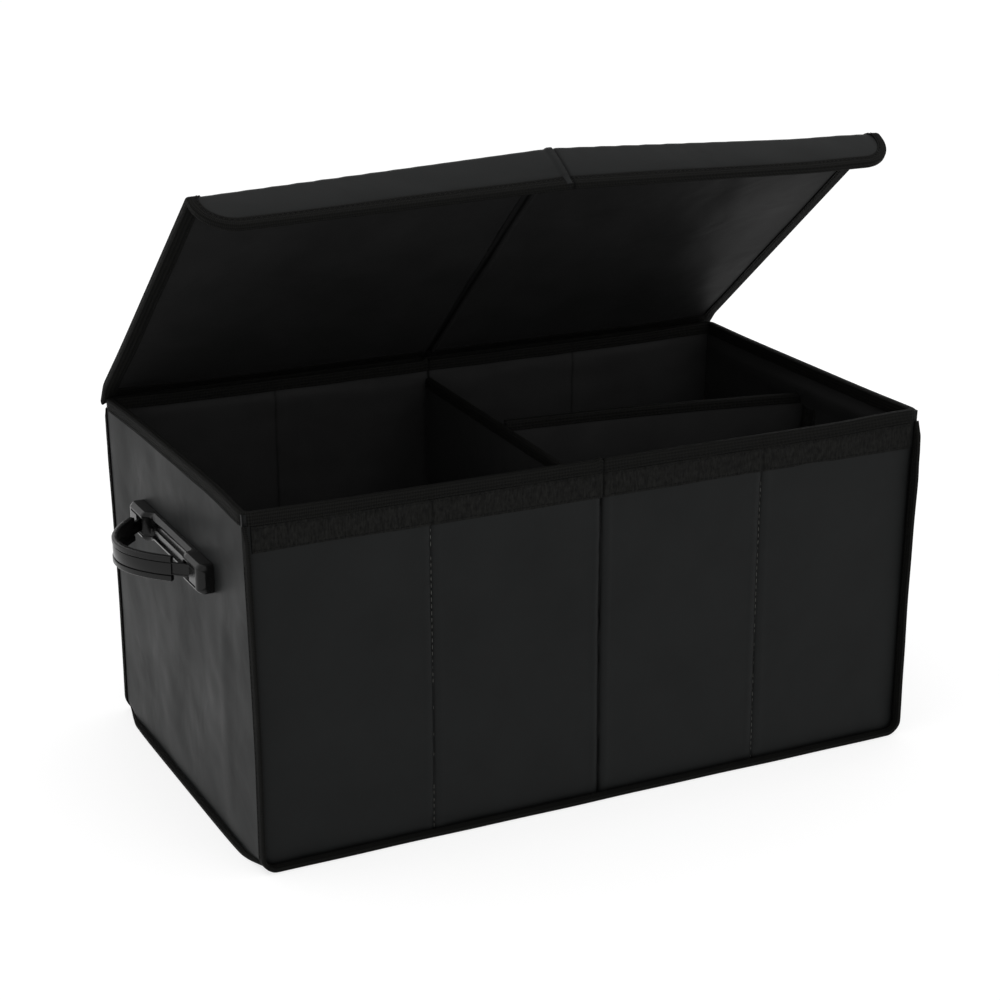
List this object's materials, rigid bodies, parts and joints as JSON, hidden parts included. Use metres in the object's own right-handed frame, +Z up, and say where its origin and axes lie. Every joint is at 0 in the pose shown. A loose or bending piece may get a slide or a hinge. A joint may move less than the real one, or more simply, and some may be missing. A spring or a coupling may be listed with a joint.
{
  "type": "foldable car boot organizer",
  "caption": "Foldable lidded storage box for a car boot: cloth-covered board walls, crossed dividers, moulded side handles and a hinged lid with a hook-and-loop front flap.",
  "frame": {"origin": "on the floor, under the middle of the box", "axes": "+Z up, the front with the loop strip and the lid's flap faces -Y, the handles are at -X (left) and +X (right)"},
  "size_m": [0.68, 0.344, 0.5013],
  "materials": {
    "outer_cloth": "coated cloth with a fine leather grain, satin black",
    "inner_cloth": "thin coated lining, satin black",
    "board": "pressed stiffener board, matt brown",
    "tape": "ribbed woven tape, matt black",
    "hook_loop": "hook or loop pile on a woven back, matt black",
    "plastic": "moulded, satin to semi-gloss black",
    "steel": "zinc-plated sheet and screws, hidden in the wall"
  },
  "bodies": {
    "body": {"front_cover": "outer_cloth", "front_board_1": "board", "front_board_2": "board", "front_board_3": "board", "front_board_4": "board", "front_liner": "inner_cloth", "front_binding": "tape", "back_cover": "outer_cloth", "back_board_1": "board", "back_board_2": "board", "back_board_3": "board", "back_board_4": "board", "back_liner": "inner_cloth", "back_binding": "tape", "left_cover": "outer_cloth", "left_board": "board", "left_liner": "inner_cloth", "left_foot_binding": "tape", "right_cover": "outer_cloth", "right_board": "board", "right_liner": "inner_cloth", "right_foot_binding": "tape", "base_cover": "outer_cloth", "base_board_left": "board", "base_board_right": "board", "base_liner": "inner_cloth", "rim_binding": "tape", "loop_strip": "hook_loop", "divider_board": "board", "divider_sleeve": "inner_cloth", "divider_binding": "tape", "partition_board": "board", "partition_sleeve": "inner_cloth", "partition_binding": "tape", "partition_tab_divider": "hook_loop", "partition_tab_wall": "hook_loop", "lid_hinge_strip": "tape", "left_handle_base": "plastic", "left_handle_plate": "steel", "left_handle_screw_1": "steel", "left_handle_screw_2": "steel", "right_handle_base": "plastic", "right_handle_plate": "steel", "right_handle_screw_1": "steel", "right_handle_screw_2": "steel"},
    "lid": {"lid_cover": "outer_cloth", "lid_board_left": "board", "lid_board_right": "board", "lid_liner": "inner_cloth", "lid_binding": "tape", "flap_hinge_strip": "tape"},
    "flap": {"flap_cover": "outer_cloth", "flap_board_left": "board", "flap_board_right": "board", "flap_liner": "inner_cloth", "flap_binding": "tape", "hook_strip": "hook_loop"},
    "left_grip": {"left_grip": "plastic"},
    "right_grip": {"right_grip": "plastic"}
  },
  "joints": [
    {"name": "lid_hinge", "type": "hinge", "parent": "body", "child": "lid", "pos_m": [0, 0.1663, 0.2853], "axis": [-1, 0, 0], "range_deg": [-39, 141], "deforming": ["lid_hinge_strip"]},
    {"name": "flap_hinge", "type": "hinge", "parent": "lid", "child": "flap", "pos_m": [0, -0.09226, 0.49467], "axis": [1, 0, 0], "range_deg": [-80, 10], "deforming": ["flap_hinge_strip"]},
    {"name": "left_grip_slide", "type": "slide", "parent": "body", "child": "left_grip", "axis": [1, 0, 0], "range_m": [0, 0.005]},
    {"name": "right_grip_slide", "type": "slide", "parent": "body", "child": "right_grip", "axis": [-1, 0, 0], "range_m": [0, 0.005]}
  ]
}
